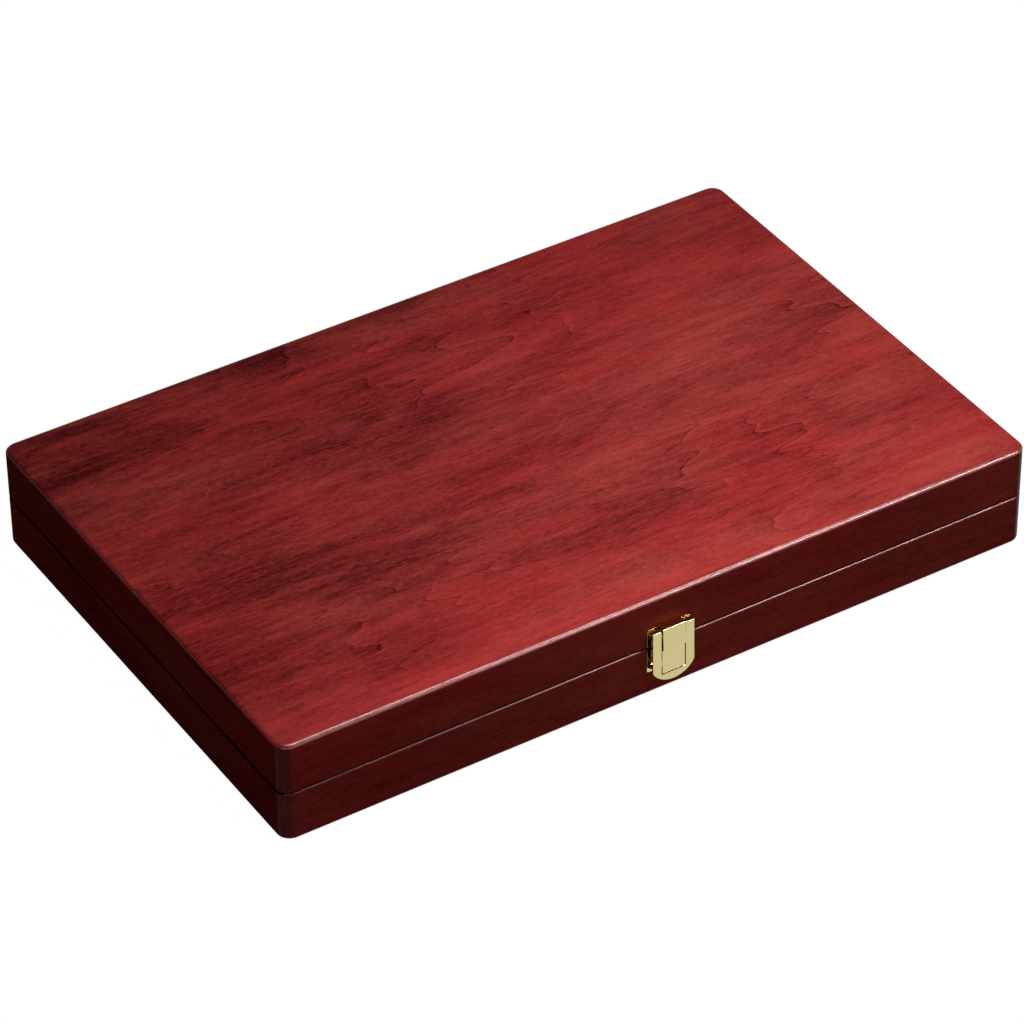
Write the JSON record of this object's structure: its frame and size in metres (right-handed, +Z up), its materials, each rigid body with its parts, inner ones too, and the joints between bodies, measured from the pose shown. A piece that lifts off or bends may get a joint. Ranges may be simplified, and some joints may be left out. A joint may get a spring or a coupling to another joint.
{
  "type": "folding backgammon board",
  "caption": "Flat hinged wooden case that opens into a playing board, with inlaid points, storage trough, stored playing pieces, and a snap hasp at the front.",
  "frame": {"origin": "centre of the closed case's underside, on the surface it rests on", "axes": "+X along the long side, +Y from the latch to the hinges, +Z up"},
  "size_m": [0.38, 0.2533, 0.051],
  "materials": {
    "case_wood": "red-brown stained veneer and rails with a satin lacquer",
    "field_wood": "satin lacquered field veneer",
    "light_inlay": "satin lacquered pale veneer",
    "dark_inlay": "satin lacquered dark veneer",
    "brass": "polished and lacquered brass",
    "light_checker_wood": "satin lacquered turned wood",
    "dark_checker_wood": "satin lacquered turned wood",
    "cup_wood": "stained turned wood",
    "light_dice_plastic": "gloss",
    "dark_dice_plastic": "gloss",
    "cube_plastic": "gloss"
  },
  "bodies": {
    "tray": {"tray_base_panel": "case_wood", "tray_front_rail": "case_wood", "tray_back_rail": "case_wood", "tray_left_rail": "case_wood", "tray_right_rail": "case_wood", "tray_trough_divider": "case_wood", "tray_field_veneer": "field_wood", "tray_light_points": "light_inlay", "tray_dark_points": "dark_inlay", "tray_hinge_screws": "brass", "left_hinge_tray_leaf": "brass", "left_hinge_pin": "brass", "right_hinge_tray_leaf": "brass", "right_hinge_pin": "brass", "latch_catch_plate": "brass", "latch_catch_screws": "brass", "light_checkers": "light_checker_wood", "dark_checkers": "dark_checker_wood", "first_dice_cup": "cup_wood", "second_dice_cup": "cup_wood", "light_dice": "light_dice_plastic", "dark_dice": "dark_dice_plastic", "doubling_cube": "cube_plastic"},
    "lid": {"lid_top_panel": "case_wood", "lid_front_rail": "case_wood", "lid_back_rail": "case_wood", "lid_left_rail": "case_wood", "lid_right_rail": "case_wood", "lid_trough_divider": "case_wood", "lid_field_veneer": "field_wood", "lid_light_points": "light_inlay", "lid_dark_points": "dark_inlay", "lid_hinge_screws": "brass", "latch_lid_plate": "brass", "latch_lid_screws": "brass", "latch_hinge_pin": "brass", "left_hinge_lid_leaf": "brass", "right_hinge_lid_leaf": "brass"},
    "hasp": {"latch_hasp": "brass"}
  },
  "joints": [
    {"name": "lid_hinge", "type": "hinge", "parent": "tray", "child": "lid", "pos_m": [0, 0.1229, 0.0255], "axis": [-1, 0, 0], "range_deg": [0, 180]},
    {"name": "hasp_hinge", "type": "hinge", "parent": "lid", "child": "hasp", "pos_m": [0, -0.1252, 0.03445], "axis": [-1, 0, 0], "range_deg": [0, 90]}
  ]
}
